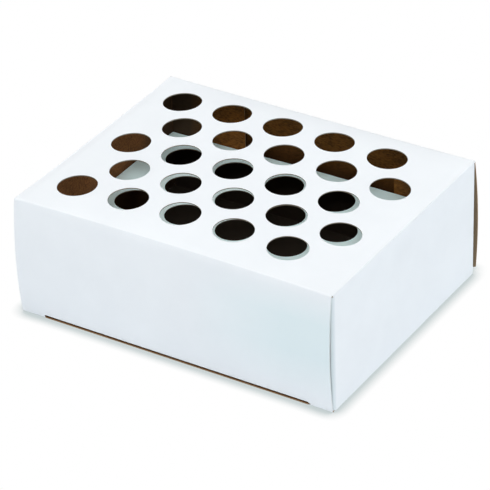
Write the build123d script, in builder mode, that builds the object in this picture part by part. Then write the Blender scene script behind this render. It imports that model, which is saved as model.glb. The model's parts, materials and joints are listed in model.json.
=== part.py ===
from build123d import *
import os

# A folded paperboard rack for twenty-five conical tubes, all sizes in millimetres.
# One sheet makes a closed sleeve: top, front wall, bottom, riser, shelf and shelf leg. Its white
# face is outside, so the shelf is white on top. A back wall hangs from the top and is glued to
# the riser. Two end walls hang from the top too, each with two dust flaps that slide in behind
# the long walls, and these ends swing open about their top creases.
# X runs along the rows, Y from front to back, Z up. The origin is under the middle of the box.

# board
BOARD = 0.8            # thickness of the paperboard
CREASE_R = 1.6         # outside radius of a folded crease
SLIP = 0.3             # gap between two layers that slide past each other
GLUE_FILM = 0.2        # thickness of the glue under the shelf leg's foot

# box
LENGTH = 266.0         # outside of one end wall to the outside of the other
DEPTH = 209.0          # front crease to back crease, outside
HEIGHT = 97.5          # floor to the outside of the top creases
TOP_CROWN = 5.4        # how far the middle of the top stands above its creases
FRONT_BULGE = 3.5      # how far the front wall bows out at half height
BACK_BULGE = 6.5       # how far the back wall bows out
FLOOR_GAP = 0.5        # cut edges of the end and back walls stop this far above the floor
CORNER_INSET = 0.6     # cut edges of the long walls stop this far short of the end walls

# tube places
ROWS = 5
PLACES = 5             # tube places in each row
PITCH = 44.5           # between neighbours in a row
ROW_STEP = 35.2        # between rows; every second row moves half a pitch to the right
HOLE_R = 15.0          # radius of the holes in the top and in the shelf

# shelf
SHELF_TOP = 49.3       # height of the shelf's upper face above the floor
LEG_SETBACK = 4.0      # outside of the front wall to the outside of the shelf leg
LEG_FOOT = 14.0        # width of the glued foot under the shelf leg

# front slot and its two feet
SLOT_HEIGHT = 2.2      # floor to the front wall's lower cut edge
SLOT_LIP = 0.6         # the bottom's cut edge lies this far behind the front wall's outside
FOOT_LENGTH = 20.0     # length of crease left at each end of the slot

# dust flaps
FLAP_REACH = 67.6      # from the end wall's outside to a flap's free edge
FLAP_TOP_GAP = 0.4     # between the top crease and the top of a flap
FLAP_FLOOR_GAP = 1.4   # how far a flap stays above the floor as its end wall swings

# glued strip on the back wall
GLUED_STRIP = 18.0     # height of the flat lower strip of the back wall
GLUE_MARGIN = 4.0      # the glue stops this far inside the strip and the flaps

# the crowned top is drawn through a grid of points
CROWN_POINTS_X = 13
CROWN_POINTS_Y = 13
CROWN_FLATNESS = 6     # a higher power keeps the crown up closer to the long creases

# A crease keeps its middle layer's length as it unfolds. So an end wall, closed or level with the
# top, is turned about an axis this far out of and above the centre of its crease's bend.
FOLD_SHIFT = 3.14159265 / 4 * (CREASE_R - BOARD / 2)

FRONT_Y = -(DEPTH + BACK_BULGE - FRONT_BULGE) / 2
BACK_Y = FRONT_Y + DEPTH
MIDDLE_Y = (FRONT_Y + BACK_Y) / 2
END_X = LENGTH / 2
BEND_X = END_X - CREASE_R
BEND_Z = HEIGHT - CREASE_R
HINGE_X = BEND_X + FOLD_SHIFT
HINGE_Z = BEND_Z + FOLD_SHIFT
LONG_WALL_X = END_X - CORNER_INSET
INNER_X = BEND_X - SLIP
BOTTOM_X = END_X - BOARD - SLIP
LAYER = BOARD + SLIP
FRONT_FLAP_Y = FRONT_Y + LAYER
BACK_FLAP_Y = BACK_Y - LAYER
RISER_Y = BACK_FLAP_Y - LAYER
LEG_Y = FRONT_Y + LEG_SETBACK
END_WALL_FRONT = FRONT_FLAP_Y + CREASE_R
END_WALL_BACK = BACK_FLAP_Y - CREASE_R


def save(piece, name):
    """Label a finished piece and write it as its own file."""
    piece.part.label = name
    export_step(piece.part, f"parts/{name}.step")


def quarter_crease(centre, quadrant):
    """Draw a crease's section: a quarter ring of board about centre, in the given quadrant."""
    sides = [Align.MIN if sign > 0 else Align.MAX for sign in quadrant]
    with Locations(centre):
        Circle(CREASE_R)
        Circle(CREASE_R - BOARD, mode=Mode.SUBTRACT)
        Rectangle(CREASE_R, CREASE_R, align=sides, mode=Mode.INTERSECT)


def long_crease(name, y, z, quadrant, start_x, end_x):
    """Make a crease that runs along X, with its bend's centre at y and z."""
    with BuildPart() as crease:
        with BuildSketch(Plane.YZ.offset(start_x)):
            quarter_crease((y, z), quadrant)
        extrude(amount=end_x - start_x)
    save(crease, name)


def flat_panel(name, start_x, end_x, start_y, end_y, low_z):
    """Make a level rectangle of board with its underside at low_z."""
    with BuildPart() as panel:
        with BuildSketch(Plane.XY.offset(low_z)):
            with Locations(((start_x + end_x) / 2, (start_y + end_y) / 2)):
                Rectangle(end_x - start_x, end_y - start_y)
        extrude(amount=BOARD)
    save(panel, name)


def upright_panel(name, outer_y, inward, low_z, high_z):
    """Make an upright panel along X, whose outer face is at outer_y."""
    with BuildPart() as panel:
        with BuildSketch(Plane.YZ.offset(-INNER_X)):
            with Locations((outer_y + inward * BOARD / 2, (low_z + high_z) / 2)):
                Rectangle(BOARD, high_z - low_z)
        extrude(amount=2 * INNER_X)
    save(panel, name)


def tube_places():
    """Give the centre of every tube place, row by row from the front."""
    row_length = (PLACES - 1) * PITCH + PITCH / 2
    first_y = MIDDLE_Y - (ROWS - 1) * ROW_STEP / 2
    places = []
    for row in range(ROWS):
        shift = PITCH / 2 if row % 2 else 0.0
        for place in range(PLACES):
            places.append((-row_length / 2 + shift + place * PITCH, first_y + row * ROW_STEP))
    return places


def crown_rise(x, y):
    """Give the rise of the top panel above its creases."""
    across = x / BEND_X
    along = (y - MIDDLE_Y) / (DEPTH / 2 - CREASE_R)
    return TOP_CROWN * (1 - across**2) * (1 - along**CROWN_FLATNESS)


def crown_points():
    """Give the grid of points that the top panel's upper face passes through."""
    half_y = DEPTH / 2 - CREASE_R
    columns = [BEND_X * (2 * i / (CROWN_POINTS_X - 1) - 1) for i in range(CROWN_POINTS_X)]
    lines = [MIDDLE_Y + half_y * (2 * j / (CROWN_POINTS_Y - 1) - 1) for j in range(CROWN_POINTS_Y)]
    return [[Vector(x, y, HEIGHT + crown_rise(x, y)) for y in lines] for x in columns]


os.makedirs("parts", exist_ok=True)

# --- sleeve: top panel -----------------------------------------------------------------------
crown_face = Face.make_surface_from_array_of_points(crown_points(), tol=0.001)
with BuildPart() as top_panel:
    extrude(crown_face, amount=BOARD, dir=(0, 0, -1))
    with BuildSketch(Plane.XY.offset(HEIGHT - 2 * BOARD)):
        with Locations(*tube_places()):
            Circle(HOLE_R)
    extrude(amount=TOP_CROWN + 4 * BOARD, mode=Mode.SUBTRACT)
save(top_panel, "top_panel")

long_crease("front_top_crease", FRONT_Y + CREASE_R, BEND_Z, (-1, 1), -LONG_WALL_X, LONG_WALL_X)
long_crease("back_top_crease", BACK_Y - CREASE_R, BEND_Z, (1, 1), -LONG_WALL_X, LONG_WALL_X)

# --- sleeve: front wall, with the slot along its lower edge ------------------------------------
with BuildPart() as front_wall:
    with BuildSketch(Plane.YZ.offset(-LONG_WALL_X)):
        with BuildLine():
            half_z = (CREASE_R + BEND_Z) / 2
            outer = ThreePointArc(
                (FRONT_Y, CREASE_R), (FRONT_Y - FRONT_BULGE, half_z), (FRONT_Y, BEND_Z)
            )
            inner = ThreePointArc(
                (FRONT_Y + BOARD, CREASE_R),
                (FRONT_Y - FRONT_BULGE + BOARD, half_z),
                (FRONT_Y + BOARD, BEND_Z),
            )
            Line(outer @ 0, inner @ 0)
            Line(outer @ 1, inner @ 1)
        make_face()
    extrude(amount=2 * LONG_WALL_X)
    with BuildSketch(Plane.XY):
        with Locations((0, FRONT_Y)):
            Rectangle(2 * (LONG_WALL_X - FOOT_LENGTH), 4 * BOARD)
    extrude(amount=SLOT_HEIGHT, mode=Mode.SUBTRACT)
save(front_wall, "front_wall")

for side, foot_start in (("left", -LONG_WALL_X), ("right", LONG_WALL_X - FOOT_LENGTH)):
    foot_end = foot_start + FOOT_LENGTH
    long_crease(f"front_{side}_foot", FRONT_Y + CREASE_R, CREASE_R, (-1, -1), foot_start, foot_end)

# --- sleeve: bottom, riser, shelf, leg and the leg's glued foot ---------------------------------
with BuildPart() as bottom_panel:
    with BuildSketch(Plane.XY):
        with Locations((0, FRONT_Y + CREASE_R)):
            back_edge = RISER_Y - CREASE_R - FRONT_Y - CREASE_R
            Rectangle(2 * BOTTOM_X, back_edge, align=(Align.CENTER, Align.MIN))
        with Locations((0, FRONT_Y + SLOT_LIP)):
            lip = CREASE_R - SLOT_LIP
            Rectangle(2 * (LONG_WALL_X - FOOT_LENGTH), lip, align=(Align.CENTER, Align.MIN))
    extrude(amount=BOARD)
save(bottom_panel, "bottom_panel")

shelf_low = SHELF_TOP - BOARD
bend_z = SHELF_TOP - CREASE_R
leg_foot_low = BOARD + GLUE_FILM
leg_low = leg_foot_low + CREASE_R
foot_start_y = LEG_Y + CREASE_R

long_crease("bottom_back_crease", RISER_Y - CREASE_R, CREASE_R, (1, -1), -INNER_X, INNER_X)
upright_panel("shelf_riser", RISER_Y, -1, CREASE_R, bend_z)
long_crease("shelf_back_crease", RISER_Y - CREASE_R, bend_z, (1, 1), -INNER_X, INNER_X)

with BuildPart() as shelf_panel:
    with BuildSketch(Plane.XY.offset(shelf_low)):
        with Locations((0, LEG_Y + CREASE_R)):
            shelf_width = RISER_Y - LEG_Y - 2 * CREASE_R
            Rectangle(2 * INNER_X, shelf_width, align=(Align.CENTER, Align.MIN))
        with Locations(*tube_places()):
            Circle(HOLE_R, mode=Mode.SUBTRACT)
    extrude(amount=BOARD)
save(shelf_panel, "shelf_panel")

long_crease("shelf_front_crease", LEG_Y + CREASE_R, bend_z, (-1, 1), -INNER_X, INNER_X)
upright_panel("shelf_leg", LEG_Y, 1, leg_low, bend_z)
long_crease("leg_foot_crease", foot_start_y, leg_low, (-1, -1), -INNER_X, INNER_X)
flat_panel("leg_foot", -INNER_X, INNER_X, foot_start_y, foot_start_y + LEG_FOOT, leg_foot_low)

with BuildPart() as leg_foot_glue:
    with BuildSketch(Plane.XY.offset(BOARD)):
        with Locations((0, foot_start_y + LEG_FOOT / 2)):
            Rectangle(2 * (INNER_X - GLUE_MARGIN), LEG_FOOT - GLUE_MARGIN)
    extrude(amount=GLUE_FILM)
save(leg_foot_glue, "leg_foot_glue")

# --- back wall: a flat glued strip below, a bow above -------------------------------------------
with BuildPart() as back_wall:
    with BuildSketch(Plane.YZ.offset(-LONG_WALL_X)):
        with BuildLine():
            bow_z = (GLUED_STRIP + BEND_Z) / 2
            back_in = BACK_Y - BOARD
            outer_strip = Line((BACK_Y, FLOOR_GAP), (BACK_Y, GLUED_STRIP))
            outer_bow = ThreePointArc(
                outer_strip @ 1, (BACK_Y + BACK_BULGE, bow_z), (BACK_Y, BEND_Z)
            )
            inner_strip = Line((back_in, FLOOR_GAP), (back_in, GLUED_STRIP))
            inner_bow = ThreePointArc(
                inner_strip @ 1, (back_in + BACK_BULGE, bow_z), (back_in, BEND_Z)
            )
            Line(outer_bow @ 1, inner_bow @ 1)
            Line(outer_strip @ 0, inner_strip @ 0)
        make_face()
    extrude(amount=2 * LONG_WALL_X)
save(back_wall, "back_wall")

with BuildPart() as back_wall_glue:
    with BuildSketch(Plane.XY.offset(GLUE_MARGIN)):
        with Locations((0, RISER_Y)):
            between_flaps = 2 * (END_X - FLAP_REACH - GLUE_MARGIN)
            Rectangle(between_flaps, back_in - RISER_Y, align=(Align.CENTER, Align.MIN))
    extrude(amount=GLUED_STRIP - 2 * GLUE_MARGIN)
save(back_wall_glue, "back_wall_glue")

# --- end walls, their top creases and their dust flaps ------------------------------------------
# A flap's lower corner is cut off, so that it stays off the floor as it swings about the hinge.
swing_radius = HINGE_Z - FLAP_FLOOR_GAP
free_edge_x = END_X - FLAP_REACH
flap_top_z = BEND_Z - FLAP_TOP_GAP
corner_z = HINGE_Z - (swing_radius**2 - (HINGE_X - free_edge_x) ** 2) ** 0.5
fold_low_z = HINGE_Z - (swing_radius**2 - CREASE_R**2) ** 0.5

for side, sign in (("left", -1), ("right", 1)):
    with BuildPart() as top_crease:
        with BuildSketch(Plane.XZ.offset(-(BACK_Y - CREASE_R))):
            quarter_crease((sign * BEND_X, BEND_Z), (sign, 1))
        extrude(amount=DEPTH - 2 * CREASE_R)
    save(top_crease, f"{side}_top_crease")

    with BuildPart() as end_wall:
        with BuildSketch(Plane.XY.offset(FLOOR_GAP)):
            with Locations((sign * (END_X - BOARD / 2), END_WALL_FRONT)):
                wall_width = END_WALL_BACK - END_WALL_FRONT
                Rectangle(BOARD, wall_width, align=(Align.CENTER, Align.MIN))
        extrude(amount=BEND_Z - FLOOR_GAP)
    save(end_wall, f"{side}_end_wall")

    for place, outer_y, inward in (("front", FRONT_FLAP_Y, 1), ("back", BACK_FLAP_Y, -1)):
        with BuildPart() as flap_crease:
            with BuildSketch(Plane.XY.offset(fold_low_z)):
                quarter_crease((sign * BEND_X, outer_y + inward * CREASE_R), (sign, -inward))
            extrude(amount=flap_top_z - fold_low_z)
        save(flap_crease, f"{side}_{place}_flap_crease")

        with BuildPart() as flap:
            flap_plane = Plane((0, outer_y, 0), x_dir=(sign, 0, 0), z_dir=(0, -sign, 0))
            with BuildSketch(flap_plane):
                with BuildLine():
                    Polyline(
                        (BEND_X, fold_low_z),
                        (BEND_X, flap_top_z),
                        (free_edge_x, flap_top_z),
                        (free_edge_x, corner_z),
                        close=True,
                    )
                make_face()
            extrude(amount=-sign * inward * BOARD)
        save(flap, f"{side}_{place}_flap")
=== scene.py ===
import json
import logging
import math
from collections.abc import Callable, Sequence
from dataclasses import dataclass, field, replace
from enum import Enum

import bpy
import numpy as np
from mathutils import Matrix, Vector


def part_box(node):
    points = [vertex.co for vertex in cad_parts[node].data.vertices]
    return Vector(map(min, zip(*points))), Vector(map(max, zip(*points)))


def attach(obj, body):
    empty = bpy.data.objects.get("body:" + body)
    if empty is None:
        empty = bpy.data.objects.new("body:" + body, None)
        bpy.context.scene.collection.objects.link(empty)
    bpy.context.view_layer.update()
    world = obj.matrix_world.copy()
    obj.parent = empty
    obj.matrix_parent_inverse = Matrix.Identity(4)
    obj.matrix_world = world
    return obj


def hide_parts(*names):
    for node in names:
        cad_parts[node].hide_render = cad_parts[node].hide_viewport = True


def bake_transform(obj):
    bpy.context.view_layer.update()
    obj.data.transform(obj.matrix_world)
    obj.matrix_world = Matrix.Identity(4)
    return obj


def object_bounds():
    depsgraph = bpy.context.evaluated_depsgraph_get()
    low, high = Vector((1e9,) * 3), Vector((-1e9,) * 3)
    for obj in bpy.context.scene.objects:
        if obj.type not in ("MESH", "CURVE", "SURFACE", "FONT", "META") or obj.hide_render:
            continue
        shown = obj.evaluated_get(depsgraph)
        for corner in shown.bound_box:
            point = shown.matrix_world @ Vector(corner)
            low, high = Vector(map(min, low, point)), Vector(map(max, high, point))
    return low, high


# A folded paperboard rack for conical tubes. Each panel is one thin sheet, white outside and brown
# inside, drawn as a surface over a flat layout and then given the board's thickness. Neighbouring
# panels share their surfaces' edges and slopes, so the folds read as one sheet of board.

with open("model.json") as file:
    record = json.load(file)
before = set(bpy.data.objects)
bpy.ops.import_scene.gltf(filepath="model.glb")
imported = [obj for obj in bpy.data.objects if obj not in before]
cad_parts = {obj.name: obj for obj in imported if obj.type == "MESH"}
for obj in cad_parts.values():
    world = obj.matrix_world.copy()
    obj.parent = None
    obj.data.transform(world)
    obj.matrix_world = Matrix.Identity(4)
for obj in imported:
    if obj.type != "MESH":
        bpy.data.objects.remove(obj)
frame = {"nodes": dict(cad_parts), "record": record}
cad_low, cad_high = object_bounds()

log = logging.getLogger("tube_rack")

Surface = Callable[[np.ndarray, np.ndarray], np.ndarray]
Test = Callable[[np.ndarray], np.ndarray]
Colour = tuple[float, float, float, float]
Span = tuple[float, float]
Link = tuple[bpy.types.Node, str, bpy.types.Node, str]

WHITE: Colour = (1.0, 1.0, 1.0, 1.0)
BLACK: Colour = (0.0, 0.0, 0.0, 1.0)


# ---------------------------------------------------------------- sizes

MM = 0.001

LEFT_X, RIGHT_X = cad_low.x, cad_high.x     # the end walls' outsides
FRONT_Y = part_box("front_top_crease")[0].y   # the front wall's outside, at its folds
BACK_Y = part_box("back_top_crease")[1].y     # the back wall's outside, at its fold
TOP_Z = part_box("front_top_crease")[1].z     # the top's outside, at its folds

SLOT_STEP = 1.4 * MM         # the slot's upper edge stands this far above the wall's feet
SLOT_SLANT = 2.2 * MM        # how much the slot's right end leans
FRONT_EDGE_LIFT = 1.5 * MM   # rise of the front top crease at its middle
SHELF_CROWN = 1.1 * MM       # rise of the shelf's middle
SHELF_BACK_LIFT = 2.1 * MM   # rise of the shelf's back edge
END_HOLLOW = 0.5 * MM        # how far the end walls are dished in
SIDE_ROLL = 4 * MM           # width of the soft roll beside the two long creases
SIDE_SINK = 0.55 * MM        # how far the sheets sink in it
END_ROLL = 8 * MM            # width of the soft roll beside the two end creases
END_SINK = 1.3 * MM          # how far the top sinks in it
FLAP_BOW = 1.4 * MM          # how far a front flap's fold bellies out towards the front wall
CORNER_TRIM = 2.6 * MM       # how much is trimmed off the back wall's lower corners
TRIM_LENGTH = 10 * MM        # the length of that trim along the wall
GLUE_ROOM = 4 * MM           # the back wall stays flat this far above its glue
CREASE_REACH = 1.5           # length of a crease's end slopes, which make it round, in crease radii

CROWN_SHARE = 0.985          # keeps the crown just inside the frame's box
BOW_SHARE = 0.985            # keeps the bowed front wall just inside it too
SPRING_SHARE = 0.92          # how far the back wall springs out, as a share of the frame's box
FREE_START = 0.585           # how far its free ends stand out at their lower edge, as a share of that
FREE_SLOPE = 2.1             # how fast they swell above it
CROWN_POWER = 7              # how late the top's crown falls away towards the long creases
SHELF_POWER = 4              # how late the shelf's crown falls away towards its folds
FADE_POWER = 4               # how late a roll dies away towards the corners

LIP = 0.6 * MM               # width of the worn band beside a cut edge
LIP_ROOM = 1.5               # how far from a cut edge the next stop may lie, in lips
STEP = 6 * MM                # widest gap between a sheet's stops
BASE_STEP = 18 * MM          # the same across the bottom panel
BACK_STEP = 4 * MM           # the same up the back wall
FRONT_SHARE = 1 / 24         # the same up the front wall, as a share of its height
FLAP_SHARE = 1 / 16          # the same up a dust flap
ROLL_START = 0.94            # where the front wall's stops get closer for its roll, as a share
ROLL_STOPS = (0.955, 0.97, 0.98, 0.99, 1.0)
END_ROLL_STOPS = 5           # stops over an end wall's roll
RING_SHARES = (0.42, 0.7)    # where the rings round a hole lie on the way to the cell's border
ACROSS = [i / 10 for i in range(11)]  # stops across a crease
HAIR = 0.05 * MM             # width of a strip that only parts two stretches of a layout
CORNER = 0.1 * MM            # points closer than this belong to one corner
WELD = 0.01 * MM             # points closer than this become one
NUDGE = 1e-5                 # step for slopes, in metres or in a crease's own measure
SMOOTH = 0.9                 # side faces share a normal where their normals' product is over this
BEAD_DIVISIONS = 2           # how finely a glue bead is rounded


class Named(Enum):
    """A choice whose members' names are parts of the nodes' names."""

    @property
    def label(self) -> str:
        """The member's name as the nodes and bodies use it."""
        return self.name.lower()


class Side(Named):
    """The two ends of the rack, each with the sign of its X."""

    LEFT = -1
    RIGHT = 1


class Long(Named):
    """The two long walls, each with the direction in Y that leads into the rack."""

    FRONT = 1
    BACK = -1


class Face(Enum):
    """The material indices on a sheet of board."""

    COAT = 0
    KRAFT = 1
    CUT = 2


@dataclass(frozen=True)
class RackSizes:
    """The sizes that the looks take from the frame, in metres.

    Attributes:
        board: The board's thickness.
        crease: The outside radius of a fold.
        front_y: The front wall's outside, at its folds.
        back_y: The back wall's outside, at its fold.
        height: The top's outside, at its folds.
        end_x: The right end wall's outside.
        wall_x: Where the long walls end.
        inner_x: Where the shelf ends.
        crown: How far the top rises above its folds.
        front_bulge: How far the front wall is bowed out.
        back_bulge: How far the back wall is.
        slot_top: The upper edge of the slot along the front wall.
        foot_length: The length of the crease foot at each end of the slot.
        hole_radius: The radius of a tube's hole.
        pitch: The distance between neighbours in a row.
        row_step: The distance between rows.
        places: Where the tubes stand.
    """

    board: float
    crease: float
    front_y: float
    back_y: float
    height: float
    end_x: float
    wall_x: float
    inner_x: float
    crown: float
    front_bulge: float
    back_bulge: float
    slot_top: float
    foot_length: float
    hole_radius: float
    pitch: float
    row_step: float
    places: tuple[tuple[float, float], ...]

    @property
    def bend_x(self) -> float:
        """Where the top panel ends and its end creases start."""
        return self.end_x - self.crease

    @property
    def bend_z(self) -> float:
        """Where the walls end and the top creases start."""
        return self.height - self.crease

    @property
    def front_bend(self) -> float:
        """Where the front creases end and the level panels start."""
        return self.front_y + self.crease

    @property
    def back_bend(self) -> float:
        """Where the top panel ends and its back crease starts."""
        return self.back_y - self.crease

    @property
    def middle_y(self) -> float:
        """The middle of the rack between its long creases."""
        return (self.front_y + self.back_y) / 2

    @property
    def half_depth(self) -> float:
        """Half the depth of the flat part of the top panel."""
        return (self.back_y - self.front_y) / 2 - self.crease

    @property
    def slot_x(self) -> float:
        """Half the length of the slot along the front wall."""
        return self.wall_x - self.foot_length

    @property
    def reach(self) -> float:
        """The length of a crease's end slopes."""
        return CREASE_REACH * self.crease

    @classmethod
    def from_frame(cls) -> "RackSizes":
        """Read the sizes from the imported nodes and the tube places.

        Returns:
            The sizes of this rack.
        """
        wall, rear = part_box("front_wall"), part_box("back_wall")
        foot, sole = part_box("front_left_foot"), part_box("leg_foot")
        mounts = [m for m in frame["record"]["mounts"] if m["name"].startswith("tube_place_")]
        places = tuple((m["pos_m"][0], m["pos_m"][1]) for m in mounts)
        rows = sorted({round(y, 6) for _, y in places})
        first_row = sorted(x for x, y in places if abs(y - rows[0]) < MM)
        return cls(
            board=sole[1].z - sole[0].z,
            crease=TOP_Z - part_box("front_top_crease")[0].z,
            front_y=FRONT_Y,
            back_y=BACK_Y,
            height=TOP_Z,
            end_x=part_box("right_end_wall")[1].x,
            wall_x=wall[1].x,
            inner_x=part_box("shelf_panel")[1].x,
            crown=cad_high.z - TOP_Z,
            front_bulge=FRONT_Y - wall[0].y,
            back_bulge=rear[1].y - BACK_Y,
            slot_top=wall[0].z + SLOT_STEP,
            foot_length=foot[1].x - foot[0].x,
            hole_radius=mounts[0]["dims"]["r_mm"] * MM,
            pitch=first_row[1] - first_row[0],
            row_step=rows[1] - rows[0],
            places=places,
        )


# ---------------------------------------------------------------- flat layouts


@dataclass
class Layout:
    """A flat mesh in a panel's own two coordinates.

    Attributes:
        points: One row of two coordinates for each vertex.
        faces: Vertex numbers of each face, anticlockwise.
    """

    points: np.ndarray
    faces: list[tuple[int, ...]]

    @classmethod
    def grid(cls, us: Sequence[float], vs: Sequence[float]) -> "Layout":
        """Make a grid from its stops along each coordinate.

        Args:
            us: Stops along the first coordinate.
            vs: Stops along the second coordinate.

        Returns:
            The grid as a layout.
        """
        points = np.array([(u, v) for u in us for v in vs])
        rows = len(vs)
        faces = [
            (i * rows + j, (i + 1) * rows + j, (i + 1) * rows + j + 1, i * rows + j + 1)
            for i in range(len(us) - 1)
            for j in range(rows - 1)
        ]
        return cls(points, faces)

    def rims(self) -> list[tuple[int, int]]:
        """List the edges that belong to one face only.

        Returns:
            Both ends of each edge, in its face's direction.
        """
        count: dict[tuple[int, int], int] = {}
        for loop in self.faces:
            for a, b in zip(loop, loop[1:] + loop[:1]):
                count[(a, b)] = count.get((a, b), 0) + 1
        return [edge for edge in count if (edge[1], edge[0]) not in count]


def stops(low: float, high: float, step: float, lips: bool = True) -> list[float]:
    """Space stops evenly, with a narrow lip at each end for the worn band.

    Args:
        low: First stop.
        high: Last stop.
        step: Widest gap between stops.
        lips: Whether the ends are cut edges that get a lip.

    Returns:
        The stops in order.
    """
    count = max(2, math.ceil((high - low) / step))
    inner = [low + (high - low) * i / count for i in range(1, count)]
    if not lips:
        return [low, *inner, high]
    kept = [x for x in inner if low + LIP_ROOM * LIP < x < high - LIP_ROOM * LIP]
    return [low, low + LIP, *kept, high - LIP, high]


def seam(across: Sequence[float] = (), along: Sequence[float] = ()) -> Test:
    """Say which layout points join a neighbouring sheet.

    Args:
        across: Values of the second coordinate that are seams.
        along: Values of the first coordinate that are seams.

    Returns:
        A test of layout points.
    """
    lines = [(1, value) for value in across] + [(0, value) for value in along]

    def test(points: np.ndarray) -> np.ndarray:
        """Say for each point whether it lies on a seam."""
        return np.any([np.abs(points[:, index] - value) < NUDGE for index, value in lines], axis=0)

    return test


# ---------------------------------------------------------------- node recipes


@dataclass(frozen=True)
class Grain:
    """A noise over a surface.

    Attributes:
        scale: How fine it is.
        detail: How many finer layers it has.
        roughness: How strong those layers are.
        kept: The range that is spread over 0 to 1, where that isn't all of it.
        stretch: How much closer it is packed along each axis.
    """

    scale: float
    detail: float = 3.0
    roughness: float = 0.55
    kept: Span | None = None
    stretch: tuple[float, float, float] = (1.0, 1.0, 1.0)


class Wire:
    """A shader socket that adds Math nodes when it is used in an expression."""

    def __init__(self, recipe: "Recipe", socket: bpy.types.NodeSocket) -> None:
        """Wrap a socket of a recipe's tree."""
        self.recipe = recipe
        self.socket = socket

    def __add__(self, other: "Wire | float") -> "Wire":
        """Add two values."""
        return self.recipe.math("ADD", self, other)

    def __sub__(self, other: "Wire | float") -> "Wire":
        """Subtract a value."""
        return self.recipe.math("SUBTRACT", self, other)

    def __mul__(self, other: "Wire | float") -> "Wire":
        """Multiply two values."""
        return self.recipe.math("MULTIPLY", self, other)

    def __rsub__(self, other: float) -> "Wire":
        """Subtract this value from a number."""
        return self.recipe.math("SUBTRACT", other, self)

    __radd__ = __add__
    __rmul__ = __mul__


class Recipe:
    """The node tree of a material or of the world, built node by node."""

    def __init__(self, owner: bpy.types.Material | bpy.types.World) -> None:
        """Start an empty tree.

        Args:
            owner: The material or world that gets the tree.
        """
        self.owner = owner
        self.owner.use_nodes = True
        self.tree = self.owner.node_tree
        self.tree.nodes.clear()

    @classmethod
    def material(cls, name: str) -> "Recipe":
        """Start a new material."""
        return cls(bpy.data.materials.new(name))

    def node(self, kind: str, settings: dict[str, object] | None = None, **values: object) -> bpy.types.Node:
        """Add a node.

        Args:
            kind: The node's type, without the ShaderNode prefix.
            settings: Properties that are set first; "stops" fills a colour ramp.
            values: Socket names, with _ for spaces, or _ and a number, and their values or wires.

        Returns:
            The new node.
        """
        made = self.tree.nodes.new("ShaderNode" + kind)
        for key, value in (settings or {}).items():
            if key == "stops":
                ramp = made.color_ramp
                while len(ramp.elements) < len(value):
                    ramp.elements.new(1.0)
                for element, (place, colour) in zip(ramp.elements, value):
                    element.position, element.color = place, colour
            else:
                setattr(made, key, value)
        for key, value in values.items():
            socket = made.inputs[int(key[1:]) if key[1:].isdigit() else key.replace("_", " ")]
            if isinstance(value, Wire):
                self.tree.links.new(value.socket, socket)
            else:
                socket.default_value = value
        return made

    def wire(self, made: bpy.types.Node, output: str | int = 0) -> Wire:
        """Take one output of a node as a wire."""
        return Wire(self, made.outputs[output])

    def math(self, operation: str, first: Wire | float, second: Wire | float) -> Wire:
        """Add one Math node on two values."""
        return self.wire(self.node("Math", {"operation": operation}, _0=first, _1=second))

    def total(self, values: Sequence[Wire], shares: Sequence[float]) -> Wire:
        """Add values up, each by its share."""
        first, *others = [value * share for value, share in zip(values, shares)]
        return sum(others, first)

    def place(self, stretch: tuple[float, float, float] = (1.0, 1.0, 1.0)) -> Wire:
        """Give Object coordinates in metres, stretched by factors."""
        coordinates = self.wire(self.node("TexCoord"), "Object")
        return self.wire(self.node("Mapping", Vector=coordinates, Scale=stretch))

    def axes(self) -> tuple[Wire, Wire, Wire]:
        """Give the three Object coordinates in metres."""
        made = self.node("SeparateXYZ", Vector=self.place())
        return self.wire(made, "X"), self.wire(made, "Y"), self.wire(made, "Z")

    def grain(self, grain: Grain) -> Wire:
        """Add a noise.

        Args:
            grain: The noise's figures.

        Returns:
            Its value, between 0 and 1.
        """
        figures = {"Scale": grain.scale, "Detail": grain.detail, "Roughness": grain.roughness}
        made = self.node("TexNoise", Vector=self.place(grain.stretch), **figures)
        value = self.wire(made, "Fac")
        return self.span(value, *grain.kept) if grain.kept else value

    def attribute(self, name: str) -> Wire:
        """Give a value that is stored on the mesh."""
        return self.wire(self.node("Attribute", {"attribute_name": name}), "Fac")

    def span(self, value: Wire, low: float, high: float) -> Wire:
        """Spread a value's range over 0 to 1, and clamp it."""
        return self.wire(self.node("MapRange", _0=value, _1=low, _2=high, _3=0.0, _4=1.0))

    def mix(self, share: Wire | float, first: Wire | Colour, second: Wire | Colour) -> Wire:
        """Mix two colours by a share."""
        return self.wire(self.node("Mix", {"data_type": "RGBA"}, _0=share, _6=first, _7=second), 2)

    def bump(self, height: Wire, distance: float) -> Wire:
        """Turn a height into a normal."""
        return self.wire(self.node("Bump", Height=height, Distance=distance, Strength=1.0))

    def finish(self, **values: object) -> bpy.types.Material:
        """Close the material with a Principled shader.

        Args:
            values: The shader's socket values or wires.

        Returns:
            The finished material.
        """
        shader = self.wire(self.node("BsdfPrincipled", **values))
        self.node("OutputMaterial", Surface=shader)
        return self.owner


# ---------------------------------------------------------------- finishes


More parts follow.
